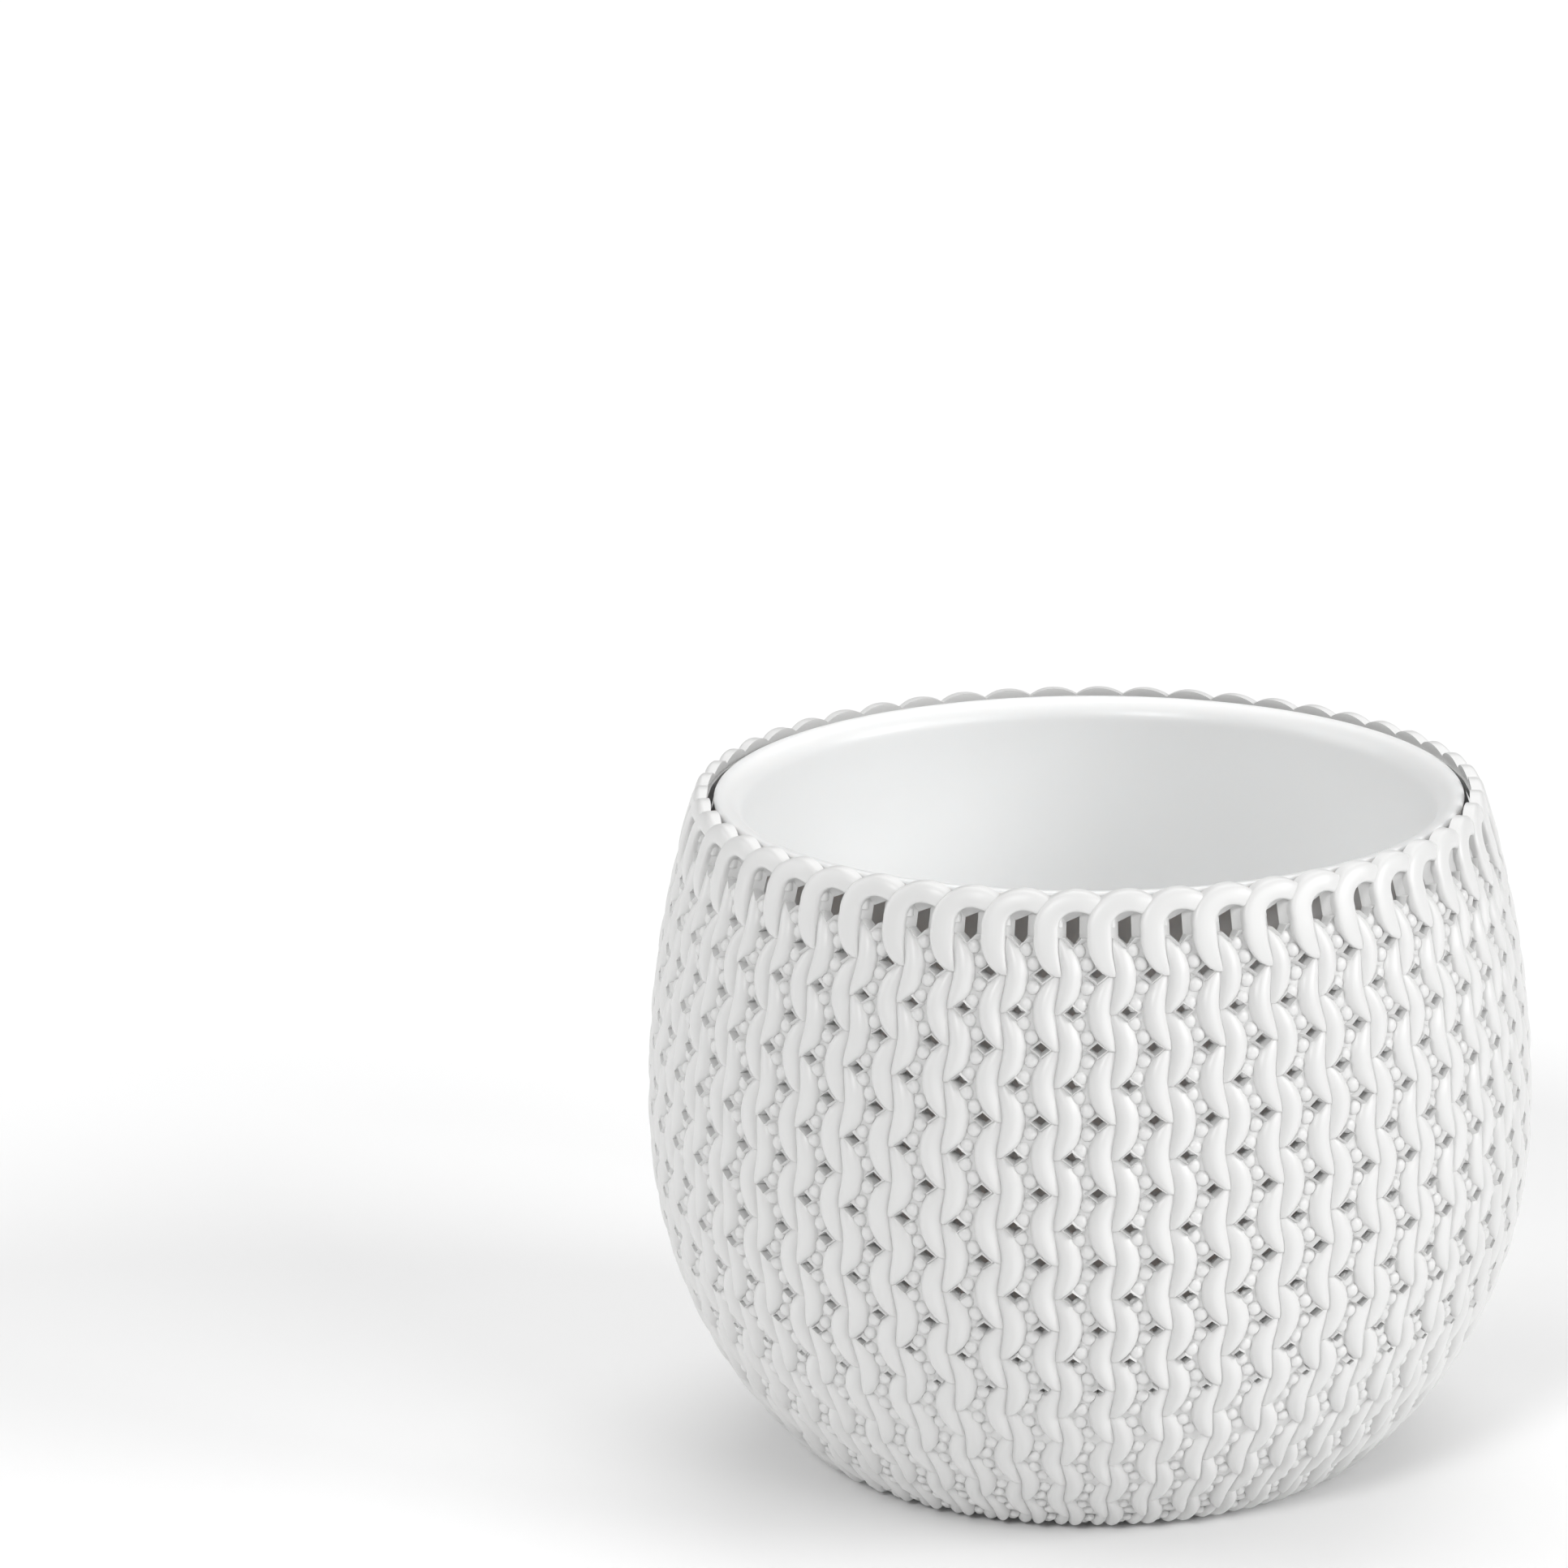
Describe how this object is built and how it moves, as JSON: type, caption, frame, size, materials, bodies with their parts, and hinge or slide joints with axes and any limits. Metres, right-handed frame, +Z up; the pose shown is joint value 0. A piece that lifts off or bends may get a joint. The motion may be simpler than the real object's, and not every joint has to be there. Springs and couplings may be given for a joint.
{
  "type": "planter",
  "caption": "Round bowl-shaped plastic planter: an openwork outer pot with a knitted look and a scalloped rim, and a smooth liner that lifts out.",
  "frame": {"origin": "middle of the flat underside that the planter stands on", "axes": "+Z up along the planter's axis; column 0 of the knitted columns faces -Y"},
  "size_m": [0.2396, 0.24, 0.1833],
  "materials": {
    "outer_plastic": "satin white",
    "liner_plastic": "smooth satin white"
  },
  "bodies": {
    "outer": {"outer_pot": "outer_plastic"},
    "liner": {"liner_pot": "liner_plastic"}
  },
  "joints": [
    {"name": "liner_lift", "type": "slide", "parent": "outer", "child": "liner", "axis": [0, 0, 1], "range_m": [0, 0.19]}
  ]
}
